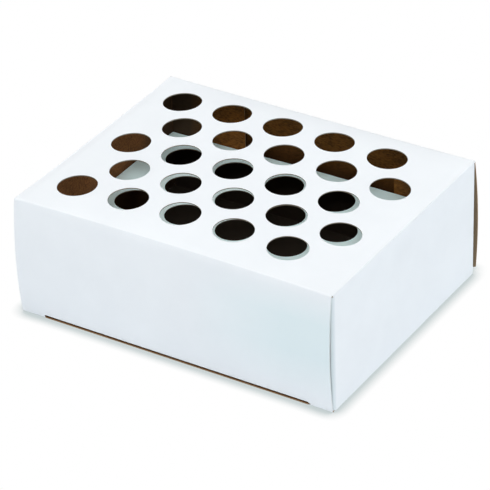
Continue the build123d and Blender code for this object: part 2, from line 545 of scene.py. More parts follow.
@dataclass(frozen=True)
class CoatedFace:
    """The clay-coated white face of the board: satin, faintly cool and nearly smooth.

    Attributes:
        name: The material's name.
        colour, shade: The coat and its mottle.
        scuffed: The fibres that show at cut edges and folds.
        cloud: Painted shade: the coat drawn faintly grey-cyan on the front wall's right side, where less
            light falls.
        strain: Painted shade: the coat drawn darker along an end wall's front fold, in the gap behind the
            front wall's edge.
        dim_glow, full_glow: Painted light: the shelf coat's glow where it is dim and where it is full,
            standing in for light that reaches the shelf through the holes.
        clouded, strained, glow: How much of the three there is, from 0 to 1.
        mottle, tooth, ripple, wear, cracks: The coat's noises.
        wear_share, crack_share: How strongly worn edges and cracked folds show.
        roughness: The coat at its smoothest.
        rough_shares: What the mottle, the tooth and the folds add to it.
        relief: How high the tooth, the ripple and the cracks stand, in relief depths.
        relief_depth: The depth that the relief is measured in.
        cloud_x, cloud_low, cloud_high: Where the front wall's painted shade sets in, from the left, below
            and above.
        strain_y: Where the painted shade along an end wall's front fold sets in, towards the front.
        glow_left, glow_right, glow_back: Where the full painted glow sets in, from three sides.
    """

    name: str = "white_clay_coat"
    colour: Colour = (0.87, 0.897, 0.925, 1.0)
    shade: Colour = (0.84, 0.867, 0.897, 1.0)
    scuffed: Colour = (0.78, 0.79, 0.78, 1.0)
    cloud: Colour = (0.755, 0.852, 0.878, 1.0)
    strain: Colour = (0.61, 0.685, 0.72, 1.0)
    dim_glow: Colour = (0.084, 0.105, 0.103, 1.0)
    full_glow: Colour = (0.205, 0.24, 0.235, 1.0)
    clouded: float = 0.0
    strained: float = 0.0
    glow: float = 0.0
    mottle: Grain = Grain(22.0, 4.0, kept=(0.35, 0.7))
    tooth: Grain = Grain(900.0, 4.0, 0.6)
    ripple: Grain = Grain(14.0, 1.0)
    wear: Grain = Grain(420.0, kept=(0.42, 0.62))
    cracks: Grain = Grain(1500.0, 5.0, 0.7, kept=(0.5, 0.68))
    wear_share: float = 0.35
    crack_share: float = 0.16
    roughness: float = 0.42
    rough_shares: tuple[float, float, float] = (0.05, 0.06, 0.1)
    relief: tuple[float, float, float] = (0.35, 6.0, -0.8)
    relief_depth: float = 0.02 * MM
    cloud_x: Span = (15 * MM, 95 * MM)
    cloud_low: Span = (8 * MM, 45 * MM)
    cloud_high: Span = (TOP_Z - 0.5 * MM, TOP_Z - 25.5 * MM)
    strain_y: Span = (FRONT_Y + 5 * MM, FRONT_Y + 0.5 * MM)
    glow_left: Span = (LEFT_X + 21 * MM, LEFT_X + 36 * MM)
    glow_right: Span = (0.0, -30 * MM)
    glow_back: Span = (BACK_Y - 37 * MM, BACK_Y - 53 * MM)

    def build(self) -> bpy.types.Material:
        """Make the material, with mottle, tooth, creased fibres and worn cut edges, and with the painted
        shade and painted glow that its settings turn on.

        Returns:
            The material.
        """
        r = Recipe.material(self.name)
        x, y, z = r.axes()
        mottle, tooth, ripple = r.grain(self.mottle), r.grain(self.tooth), r.grain(self.ripple)
        worn = r.attribute("edge") * r.grain(self.wear)
        fold = r.attribute("fold")
        cracks = fold * r.grain(self.cracks)
        colour = r.mix(mottle, self.colour, self.shade)
        # Painted shade: a faint grey-cyan patch on the front wall's right side, away from its top and
        # bottom.
        cloud = r.span(x, *self.cloud_x) * r.span(z, *self.cloud_low) * r.span(z, *self.cloud_high)
        colour = r.mix(cloud * self.clouded, colour, self.cloud)
        # Painted shade: darker along an end wall's front fold, in the gap behind the front wall's edge.
        colour = r.mix(r.span(y, *self.strain_y) * self.strained, colour, self.strain)
        colour = r.mix(worn * self.wear_share + cracks * self.crack_share, colour, self.scuffed)
        # Painted light: the shelf's coat glows, more strongly in its left half, away from the left end and
        # the back.
        lit = r.span(x, *self.glow_left) * r.span(x, *self.glow_right) * r.span(y, *self.glow_back)
        return r.finish(
            Base_Color=colour,
            Roughness=r.total((mottle, tooth, fold), self.rough_shares) + self.roughness,
            Normal=r.bump(r.total((tooth, ripple, cracks), self.relief), self.relief_depth),
            Specular_IOR_Level=0.4,
            IOR=1.48,
            Emission_Color=r.mix(lit, self.dim_glow, self.full_glow),
            Emission_Strength=self.glow,
        )


@dataclass(frozen=True)
class KraftFace:
    """The uncoated brown face: long fibres along the rack, flecks and a dull surface.

    Attributes:
        name: The material's name.
        colour, dark, pale: The brown, and its dark and pale fibres.
        deep: Painted shade: the brown drawn dark low down, where little light reaches it.
        deepest: Painted shade: the brown drawn darker still towards the ends and towards the back.
        bare: Painted light: the brown drawn paler and greyer at the back wall's free ends, where light from
            outside reaches past the end walls.
        rim: The plain brown beside a cut edge that light reaches, where the painted shade gives way.
        shaded: The heights over which the painted shade low down gives way to the plain brown.
        corner, behind, bleached, lit_edge: How much there is, from 0 to 1, of the painted shade at the ends
            and towards the back, the painted light at the back wall's free ends and the plain brown beside a
            lit cut edge.
        fibres, cloud, blotch, flecks, specks: The brown's noises.
        cloud_shares, cloud_span: How the cloud and the blotch are added up, and the range kept.
        fibre_span, fibre_share: The range of the fibres that shows, and how strongly.
        fleck_share, speck_share: How strongly the dark flecks and pale specks show.
        roughness, rough_share: The brown at its smoothest, and what the fibres add.
        relief_share, relief_depth: How high the cloud stands beside the fibres, and their depth.
        left_x, right_x, right_share: Where the painted shade at the ends sets in, and its share at the
            right.
        behind_y: Where the painted shade towards the back sets in.
        free_x: Where the painted light on the back wall's free ends sets in, from the middle.
        rim_span: The range of the edge value over which the rim sets in.
    """

    name: str = "brown_kraft"
    colour: Colour = (0.32, 0.122, 0.036, 1.0)
    dark: Colour = (0.13, 0.047, 0.013, 1.0)
    pale: Colour = (0.51, 0.23, 0.085, 1.0)
    deep: Colour = (0.095, 0.047, 0.018, 1.0)
    deepest: Colour = (0.065, 0.04, 0.022, 1.0)
    bare: Colour = (0.265, 0.195, 0.12, 1.0)
    rim: Colour = (0.30, 0.142, 0.046, 1.0)
    shaded: Span = (34 * MM, 64 * MM)
    corner: float = 0.0
    behind: float = 0.0
    bleached: float = 0.0
    lit_edge: float = 0.0
    fibres: Grain = Grain(1700.0, 5.0, 0.65, stretch=(0.16, 1.0, 1.0))
    cloud: Grain = Grain(60.0, 5.0, 0.6)
    blotch: Grain = Grain(620.0, 3.0, 0.6, stretch=(0.55, 1.0, 1.0))
    flecks: Grain = Grain(640.0, 2.0, kept=(0.66, 0.76), stretch=(0.4, 1.0, 1.0))
    specks: Grain = Grain(980.0, 2.0, kept=(0.68, 0.74))
    cloud_shares: tuple[float, float] = (0.35, 0.65)
    cloud_span: Span = (0.4, 0.58)
    fibre_span: Span = (0.42, 0.72)
    fibre_share: float = 0.6
    fleck_share: float = 0.7
    speck_share: float = 0.5
    roughness: float = 0.81
    rough_share: float = 0.1
    relief_share: float = 0.6
    relief_depth: float = 0.06 * MM
    left_x: Span = (LEFT_X + 45 * MM, LEFT_X + 17 * MM)
    right_x: Span = (RIGHT_X - 67 * MM, RIGHT_X - 51 * MM)
    right_share: float = 0.4
    behind_y: Span = (BACK_Y - 51 * MM, BACK_Y - 11 * MM)
    free_x: Span = (RIGHT_X - 8 * MM, RIGHT_X - 4 * MM)
    rim_span: Span = (0.8, 0.95)

    def build(self) -> bpy.types.Material:
        """Make the material, with fibres, clouding, pale and dark flecks, and with the painted shade and
        painted light that its settings turn on.

        Returns:
            The material.
        """
        r = Recipe.material(self.name)
        x, y, z = r.axes()
        fibres, cloud = r.grain(self.fibres), r.grain(self.cloud)
        clouding = r.span(r.total((cloud, r.grain(self.blotch)), self.cloud_shares), *self.cloud_span)
        colour = r.mix(clouding, self.dark, self.colour)
        colour = r.mix(r.span(fibres, *self.fibre_span) * self.fibre_share, colour, self.pale)
        colour = r.mix(r.grain(self.flecks) * self.fleck_share, colour, self.dark)
        colour = r.mix(r.grain(self.specks) * self.speck_share, colour, self.pale)
        # Painted shade: the brown is drawn dark below the shaded heights.
        colour = r.mix(r.span(z, *self.shaded), self.deep, colour)
        # Painted shade: darker towards the ends and towards the back.
        ends = r.span(x, *self.left_x) + r.span(x, *self.right_x) * self.right_share
        behind = r.span(y, *self.behind_y)
        colour = r.mix(ends * self.corner + behind * self.behind, colour, self.deepest)
        # Painted light: paler and greyer at the back wall's free ends.
        free = r.span(r.math("ABSOLUTE", x, 0.0), *self.free_x)
        colour = r.mix(free * self.bleached, colour, self.bare)
        # The plain brown returns beside a lit cut edge, through the painted shade.
        colour = r.mix(r.span(r.attribute("edge"), *self.rim_span) * self.lit_edge, colour, self.rim)
        return r.finish(
            Base_Color=colour,
            Roughness=fibres * self.rough_share + self.roughness,
            Normal=r.bump(fibres + cloud * self.relief_share, self.relief_depth),
            Specular_IOR_Level=0.2,
        )


@dataclass(frozen=True)
class CutEdge:
    """The die-cut edge of the board, which shows its plies between the two faces.

    Attributes:
        name: The material's name.
        core, ply, coat: The board's inner ply, its outer plies and its coat.
        fuzz, waver: The noises of the torn fibres and of the plies' edges.
        fuzz_share, fuzz_span: How strongly the torn fibres show, and the range kept.
        waver_share: How far the plies' edges stray, as a share of the board.
        relief_depth: How deep the fibres are.
    """

    name: str = "die_cut_edge"
    core: Colour = (0.42, 0.27, 0.155, 1.0)
    ply: Colour = (0.27, 0.16, 0.085, 1.0)
    coat: Colour = (0.82, 0.84, 0.84, 1.0)
    fuzz: Grain = Grain(1900.0, 4.0, 0.7)
    waver: Grain = Grain(700.0)
    fuzz_share: float = 0.45
    fuzz_span: Span = (0.35, 0.75)
    waver_share: float = 0.16
    relief_depth: float = 0.08 * MM

    def build(self) -> bpy.types.Material:
        """Make the material from the depth through the board.

        Returns:
            The material.
        """
        r = Recipe.material(self.name)
        depth = r.attribute("depth") + r.grain(self.waver) * self.waver_share - self.waver_share / 2
        plies = r.wire(r.node("ValToRGB", {"stops": self.stops()}, Fac=depth))
        fuzz = r.grain(self.fuzz)
        return r.finish(
            Base_Color=r.mix(r.span(fuzz, *self.fuzz_span) * self.fuzz_share, plies, self.ply),
            Roughness=0.9,
            Normal=r.bump(fuzz, self.relief_depth),
            Specular_IOR_Level=0.15,
        )

    def stops(self) -> list[tuple[float, Colour]]:
        """Give the colours through the board, from its coat to its kraft face."""
        return [(0.0, self.coat), (0.13, self.core), (0.38, self.ply), (0.62, self.core), (1.0, self.ply)]


@dataclass(frozen=True)
class DriedGlue:
    """Set packaging glue, cream and slightly glossy.

    Attributes:
        colour, deep: The glue, and where it is thick.
        cloud, pits: The glue's noises.
        roughness, rough_share: The glue at its smoothest, and what the cloud adds.
        pit_depth: How deep the pits are.
    """

    colour: Colour = (0.72, 0.62, 0.42, 1.0)
    deep: Colour = (0.52, 0.41, 0.24, 1.0)
    cloud: Grain = Grain(260.0, kept=(0.35, 0.7))
    pits: Grain = Grain(1300.0, 2.0)
    roughness: float = 0.3
    rough_share: float = 0.2
    pit_depth: float = 0.05 * MM

    def build(self) -> bpy.types.Material:
        """Make the material, clouded and softly pitted.

        Returns:
            The material.
        """
        r = Recipe.material("dried_glue")
        cloud = r.grain(self.cloud)
        return r.finish(
            Base_Color=r.mix(cloud, self.colour, self.deep),
            Roughness=cloud * self.rough_share + self.roughness,
            Normal=r.bump(r.grain(self.pits), self.pit_depth),
            Coat_Weight=0.25,
        )


@dataclass(frozen=True)
class Finishes:
    """Every material of the rack, built once.

    Attributes:
        coat, front_coat, end_coat, shelf_coat: The white face, and its copies on three parts of the rack:
            with painted shade on the front wall's right side, with painted shade along the end walls' front
            folds, and on the shelf tinted cool as painted shade and glowing as painted light.
        kraft, deep_kraft, golden_kraft, flap_kraft: The brown face, with painted shade low down and towards
        the back, and its shaded copies: darkest in the lower chamber, darker and more saturated on the back
        wall, and the same on the back dust flaps with painted shade towards their corners.
        cut, punched: The cut edge, and round the holes.
        glue: The set glue.
    """

    coat: bpy.types.Material
    front_coat: bpy.types.Material
    end_coat: bpy.types.Material
    shelf_coat: bpy.types.Material
    kraft: bpy.types.Material
    deep_kraft: bpy.types.Material
    golden_kraft: bpy.types.Material
    flap_kraft: bpy.types.Material
    cut: bpy.types.Material
    punched: bpy.types.Material
    glue: bpy.types.Material

    @classmethod
    def build(cls) -> "Finishes":
        """Build the materials.

        Returns:
            All of them.
        """
        # The shelf's coat is a copy of the white coat, tinted cool green-cyan as painted shade and glowing
        # as painted light.
        shelf = CoatedFace(
            "shelf_clay_coat",
            colour=(0.76, 0.96, 0.965, 1.0),
            shade=(0.73, 0.92, 0.93, 1.0),
            glow=1.0,
        )
        # Painted shade: the lower chamber's kraft is a dark copy of the brown, lighter only beside a lit cut
        # edge.
        deep = KraftFace(
            "deep_kraft",
            colour=(0.055, 0.043, 0.033, 1.0),
            dark=(0.035, 0.028, 0.021, 1.0),
            pale=(0.09, 0.07, 0.052, 1.0),
            deep=(0.05, 0.038, 0.028, 1.0),
            lit_edge=1.0,
        )
        # Painted shade: the back wall's kraft is a darker, more saturated copy of the brown, shaded up to a
        # greater height.
        shaded_back = KraftFace(
            "golden_kraft",
            colour=(0.275, 0.104, 0.017, 1.0),
            dark=(0.112, 0.039, 0.006, 1.0),
            pale=(0.47, 0.20, 0.043, 1.0),
            deep=(0.06, 0.026, 0.007, 1.0),
            shaded=(44 * MM, 74 * MM),
            bleached=1.0,
        )
        # Painted shade: the back dust flaps take the same copy, shaded lower down and darker towards their
        # corners.
        flap = replace(shaded_back, name="flap_kraft", shaded=(10 * MM, 34 * MM), corner=1.0, bleached=0.0)
        punched = CutEdge("punched_edge", core=(0.36, 0.33, 0.27, 1.0), ply=(0.24, 0.21, 0.165, 1.0))
        return cls(
            coat=CoatedFace().build(),
            # The front wall's coat carries painted shade on its right side.
            front_coat=CoatedFace("front_clay_coat", clouded=1.0).build(),
            # The end walls' coat carries painted shade along their front folds.
            end_coat=CoatedFace("end_clay_coat", strained=1.0).build(),
            shelf_coat=shelf.build(),
            # The plain kraft carries painted shade low down and towards the back.
            kraft=KraftFace(behind=0.85).build(),
            deep_kraft=deep.build(),
            golden_kraft=shaded_back.build(),
            flap_kraft=flap.build(),
            cut=CutEdge().build(),
            punched=punched.build(),
            glue=DriedGlue().build(),
        )


# ---------------------------------------------------------------- sheets of board


@dataclass
class Sheet:
    """One panel or crease of board, from a layout and the surface of its white face.

    Attributes:
        name: The piece's name.
        layout: Its flat mesh.
        surface: Gives the white face's points for the layout's two coordinates.
        depth: The board's thickness.
        flipped: Whether the surface's own normal points into the rack.
        seams: Says which rim points join a neighbour.
        fold: Whether the piece is a crease, whose second coordinate runs across it.
        pale: Whether the coat is drawn over the sheet's two ends in its first coordinate.
        coat: The white face's own finish, where it isn't the rack's.
        kraft: The same for the brown face.
        cut: The same for the cut edge.
    """

    name: str
    layout: Layout
    surface: Surface
    depth: float
    flipped: bool = False
    seams: Test | None = None
    fold: bool = False
    pale: bool = False
    coat: bpy.types.Material | None = None
    kraft: bpy.types.Material | None = None
    cut: bpy.types.Material | None = None

    def skin(self) -> tuple[np.ndarray, np.ndarray]:
        """Place the white face.

        Returns:
            Its points and its unit normals, which point out of the rack.
        """
        u, v = self.layout.points.T
        along = self.surface(u + NUDGE, v) - self.surface(u - NUDGE, v)
        across = self.surface(u, v + NUDGE) - self.surface(u, v - NUDGE)
        normals = np.cross(along, across) * (-1 if self.flipped else 1)
        return self.surface(u, v), normals / np.linalg.norm(normals, axis=1)[:, None]

    def build(self, finishes: Finishes) -> bpy.types.Object:
        """Make the closed mesh of the board, with its normals, materials and worn bands.

        Args:
            finishes: The rack's materials.

        Returns:
            The new object, at the origin.
        """
        points, normals = self.skin()
        count = len(points)
        rims = self.layout.rims()
        outer = [face[::-1] for face in self.layout.faces] if self.flipped else self.layout.faces
        inner = [tuple(i + count for i in face[::-1]) for face in outer]
        turned = [(b, a) for a, b in rims] if self.flipped else rims
        sides = [(b, a, a + count, b + count) for a, b in turned]
        mesh = bpy.data.meshes.new(self.name)
        both = np.vstack([points, points - normals * self.depth])
        mesh.from_pydata(both.tolist(), [], outer + inner + sides)
        for material in (self.coat or finishes.coat, self.kraft or finishes.kraft, self.cut or finishes.cut):
            mesh.materials.append(material)
        kinds = [Face.COAT] * len(outer) + [Face.KRAFT] * len(inner) + [self.rim_face(edge) for edge in rims]
        mesh.polygons.foreach_set("material_index", [kind.value for kind in kinds])
        mesh.polygons.foreach_set("use_smooth", [True] * len(kinds))
        self.mark(mesh, rims)
        split = [normals[i] for face in outer for i in face]
        split += [-normals[i - count] for face in inner for i in face]
        split += self.side_normals(mesh, turned)
        mesh.normals_split_custom_set([tuple(n) for n in split])
        return placed(self.name, mesh)

    def rim_face(self, edge: tuple[int, int]) -> Face:
        """Say what covers one side face.

        Args:
            edge: The side face's two layout points.

        Returns:
            The coat at a pale end, or else the cut board.
        """
        first, last = self.layout.points[list(edge), 0]
        whole = self.layout.points[:, 0]
        at_end = first < whole.min() + NUDGE or first > whole.max() - NUDGE
        return Face.COAT if self.pale and at_end and abs(first - last) < NUDGE else Face.CUT

    def mark(self, mesh: bpy.types.Mesh, rims: list[tuple[int, int]]) -> None:
        """Store what the materials read: worn edges, the fold and the depth through the board.

        Args:
            mesh: The sheet's mesh.
            rims: The layout's outer edges.
        """
        count = len(self.layout.points)
        edge = np.zeros(count)
        edge[sorted({i for rim in rims for i in rim})] = 1.0
        if self.seams is not None:
            edge[self.seams(self.layout.points)] = 0.0
        fold = np.clip(arch(self.layout.points[:, 1]), 0, 1) if self.fold else np.zeros(count)
        depth = np.r_[np.zeros(count), np.ones(count)]
        for name, values in (("edge", np.tile(edge, 2)), ("fold", np.tile(fold, 2)), ("depth", depth)):
            mesh.attributes.new(name, "FLOAT", "POINT").data.foreach_set("value", values.astype(np.float32))

    @staticmethod
    def side_normals(mesh: bpy.types.Mesh, rims: list[tuple[int, int]]) -> list[np.ndarray]:
        """Give the cut edge's normals, smooth round a hole and sharp at a corner.

        Args:
            mesh: The sheet's mesh, whose last faces are its sides.
            rims: The layout's outer edges, in the same order.

        Returns:
            One normal for each corner of the side faces.
        """
        start = len(mesh.polygons) - len(rims)
        flat = [np.array(mesh.polygons[start + i].normal) for i in range(len(rims))]
        starts = {a: i for i, (a, _) in enumerate(rims)}
        ends = {b: i for i, (_, b) in enumerate(rims)}
        found: list[np.ndarray] = []
        for i, (a, b) in enumerate(rims):
            pair = []
            for neighbour in (starts.get(b), ends.get(a)):
                other = flat[neighbour] if neighbour is not None else flat[i]
                joined = flat[i] + other if float(flat[i] @ other) > SMOOTH else flat[i]
                pair.append(joined / np.linalg.norm(joined))
            found += [pair[0], pair[1], pair[1], pair[0]]
        return found


def placed(name: str, mesh: bpy.types.Mesh) -> bpy.types.Object:
    """Put a mesh into the scene.

    Args:
        name: The new object's name.
        mesh: Its mesh.

    Returns:
        The object, at the origin.
    """
    made = bpy.data.objects.new(name, mesh)
    bpy.context.scene.collection.objects.link(made)
    return made


def flat_object(name: str, layout: Layout) -> bpy.types.Object:
    """Make a flat helper object.

    Args:
        name: The object's name.
        layout: Its mesh in two coordinates.

    Returns:
        The object, at height 0.
    """
    mesh = bpy.data.meshes.new(name)
    mesh.from_pydata([(x, y, 0.0) for x, y in layout.points], [], layout.faces)
    return placed(name, mesh)


@dataclass(frozen=True)
class Edge:
    """One edge of a sheet that a crease joins.

    Attributes:
        surface: The sheet's white face.
        value: The face's second coordinate along the edge.
        way: 1 where that coordinate grows along the path over the crease, or else -1.
    """

    surface: Surface
    value: float
    way: int

    def meet(self, u: np.ndarray, reach: float) -> tuple[np.ndarray, np.ndarray]:
        """Say how the crease meets the edge.

        Args:
            u: Places along the edge.
            reach: The length of the slopes.

        Returns:
            The edge's points, and its slopes along the path.
        """
        here = np.full_like(u, self.value)
        step = self.surface(u, here + self.way * NUDGE) - self.surface(u, here - self.way * NUDGE)
        return self.surface(u, here), step / np.linalg.norm(step, axis=1)[:, None] * reach


def bridge(first: Edge, second: Edge, reach: float) -> Surface:
    """Join two edges with a rounded crease that keeps both slopes.

    Args:
        first: The edge that the crease starts on.
        second: The edge that it ends on.
        reach: The length of the end slopes, which sets how round the crease is.

    Returns:
        A surface whose second coordinate runs from 0 to 1 across the crease.
    """

    def crease(u: np.ndarray, t: np.ndarray) -> np.ndarray:
        """Give points of the cubic curves between the edges.

        Args:
            u: Places along the crease.
            t: Shares of the way across it.

        Returns:
            One point for each pair.
        """
        start, leave = first.meet(u, reach)
        end, arrive = second.meet(u, reach)
        t = t[:, None]
        a, b = 2 * t**3 - 3 * t**2 + 1, t**3 - 2 * t**2 + t
        c, d = 3 * t**2 - 2 * t**3, t**3 - t**2
        return a * start + b * leave + c * end + d * arrive

    return crease


def stack(*parts: np.ndarray | float) -> np.ndarray:
    """Put three coordinates side by side, one row for each point."""
    return np.stack(np.broadcast_arrays(*parts), axis=1)


def upright(y: float) -> Surface:
    """Give a flat upright face along the rack, by its place across."""
    return lambda x, z: stack(x, y, z)


def level(z: float) -> Surface:
    """Give a flat level face, by its height."""
    return lambda x, y: stack(x, y, z)


def arch(share: np.ndarray) -> np.ndarray:
    """Rise from 0 to 1 halfway along a share, and fall back to 0."""
    return 4 * share * (1 - share)


def roll(distance: np.ndarray, length: float, depth: float) -> np.ndarray:
    """Say how far a sheet sinks near a fold, by its distance from the fold."""
    return depth * np.clip(1 - distance / length, 0, 1) ** 2


def fade(share: np.ndarray) -> np.ndarray:
    """Let a roll die away towards the corners, by the share of the way from the middle."""
    return np.clip(1 - share**FADE_POWER, 0, 1)


# ---------------------------------------------------------------- the rack's form


@dataclass(frozen=True)
class RackForm:
    """The white face of every shaped panel, as a surface.

    Attributes:
        sizes: The rack's sizes.
    """

    sizes: RackSizes

    def top(self, x: np.ndarray, y: np.ndarray) -> np.ndarray:
        """Place the top, crowned between its creases and a little along the front one.

        Args:
            x: Places along the rack.
            y: Places across it.

        Returns:
            One point for each pair.
        """
        s = self.sizes
        across, along = x / s.bend_x, (y - s.middle_y) / s.half_depth
        edge = np.where(along < 0, FRONT_EDGE_LIFT, 0.0)
        rise = (1 - across**2) * (edge + (s.crown - edge) * (1 - np.abs(along) ** CROWN_POWER))
        ends = roll(s.bend_x - np.abs(x), END_ROLL, END_SINK) * fade(along)
        sides = roll(s.half_depth * (1 - np.abs(along)), SIDE_ROLL, SIDE_SINK) * fade(across)
        return stack(x, y, s.height + rise * CROWN_SHARE - ends - sides)

    def front_wall(self, x: np.ndarray, z: np.ndarray) -> np.ndarray:
        """Place the front wall, bowed out at half height, its top following the front crease.

        Args:
            x: Places along the rack.
            z: Heights.

        Returns:
            One point for each pair.
        """
        s = self.sizes
        up = (z - s.crease) / (s.bend_z - s.crease)
        lift = FRONT_EDGE_LIFT * CROWN_SHARE * (1 - (x / s.bend_x) ** 2) * up
        sink = roll(s.bend_z - z, SIDE_ROLL, SIDE_SINK) * fade(x / s.bend_x)
        return stack(x, s.front_y + sink - s.front_bulge * BOW_SHARE * arch(up), z + lift)

    def back_wall(self, x: np.ndarray, z: np.ndarray) -> np.ndarray:
        """Place the back wall: glued flat low down in the middle, sprung away at its free ends.

        Args:
            x: Places along the rack.
            z: Heights.

        Returns:
            One point for each pair.
        """
        s = self.sizes
        low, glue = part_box("back_wall")[0].z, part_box("back_wall_glue")[1]
        strip = glue.z + GLUE_ROOM
        middle = arch(np.clip((z - strip) / (s.bend_z - strip), 0, None))
        rise = (z - low) / (s.bend_z - low)
        free = FREE_START + FREE_SLOPE * rise - (FREE_START + FREE_SLOPE) * rise**2
        t = np.clip((np.abs(x) - glue.x) / (s.wall_x - glue.x), 0, 1)
        share = t * t * (3 - 2 * t)
        spring = SPRING_SHARE * s.back_bulge * (middle * (1 - share) + free * share)
        return stack(x, s.back_y + spring, z)

    def end_wall(self, side: Side) -> Surface:
        """Give an end wall, dished in very slightly.

        Args:
            side: Which end.

        Returns:
            Its surface, from places across the rack and heights.
        """
        s = self.sizes
        low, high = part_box(f"{side.label}_end_wall")

        def surface(y: np.ndarray, z: np.ndarray) -> np.ndarray:
            """Place the wall.

            Args:
                y: Places across the rack.
                z: Heights.

            Returns:
                One point for each pair.
            """
            a = np.clip((y - low.y) / (high.y - low.y), 0, 1)
            b = np.clip((z - low.z) / (high.z - low.z), 0, 1)
            dish = END_HOLLOW * arch(a) ** 2 * arch(b)
            sink = roll(high.z - z, END_ROLL, END_SINK / 2) * fade(2 * a - 1)
            return stack(side.value * (s.end_x - dish - sink), y, z)

        return surface

    def shelf(self, x: np.ndarray, y: np.ndarray) -> np.ndarray:
        """Place the shelf, a little crowned and higher at its back.

        Args:
            x: Places along the rack.
            y: Places across it.

        Returns:
            One point for each pair.
        """
        low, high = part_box("shelf_panel")
        a = x / high.x
        b = (2 * y - low.y - high.y) / (high.y - low.y)
        back = SHELF_BACK_LIFT * np.clip(b, 0, 1) ** 2 * np.clip(a + 1, 0, 1)
        return stack(x, y, high.z + SHELF_CROWN * (1 - a**2) * (1 - b**SHELF_POWER) + back)


# ---------------------------------------------------------------- patterns


def pattern_tree(name: str, inputs: dict[str, str], output: str) -> bpy.types.GeometryNodeTree:
    """Start a Geometry Nodes tree.

    Args:
        name: The tree's name.
        inputs: Its inputs' names and kinds, the geometry first.
        output: The name of the geometry that it gives.

    Returns:
        The tree, without nodes.
    """
    tree = bpy.data.node_groups.new(name, "GeometryNodeTree")
    for key, kind in inputs.items():
        tree.interface.new_socket(key, in_out="INPUT", socket_type="NodeSocket" + kind)
    tree.interface.new_socket(output, in_out="OUTPUT", socket_type="NodeSocketGeometry")
    return tree


def join_up(tree: bpy.types.GeometryNodeTree, links: Sequence[Link]) -> None:
    """Link a tree's nodes.

    Args:
        tree: The tree.
        links: For each link, the node and output that it leaves and the node and input that it enters.
    """
    for source, output, target, entry in links:
        tree.links.new(source.outputs[output], target.inputs[entry])


def grow(
    base: bpy.types.Object, tree: bpy.types.GeometryNodeTree, inputs: dict[str, object]
) -> bpy.types.Mesh:
    """Run a tree on a helper object, and remove the helper.

    Args:
        base: The helper object.
        tree: The tree.
        inputs: The values of the tree's inputs, by name.

    Returns:
        The plain mesh that the tree makes.
    """
    modifier = base.modifiers.new(tree.name, "NODES")
    modifier.node_group = tree
    for item in tree.interface.items_tree:
        if item.name in inputs:
            modifier[item.identifier] = inputs[item.name]
    bpy.context.view_layer.update()
    evaluated = base.evaluated_get(bpy.context.evaluated_depsgraph_get())
    mesh = bpy.data.meshes.new_from_object(evaluated)
    base.modifiers.remove(modifier)
    bpy.data.objects.remove(base)
    return mesh


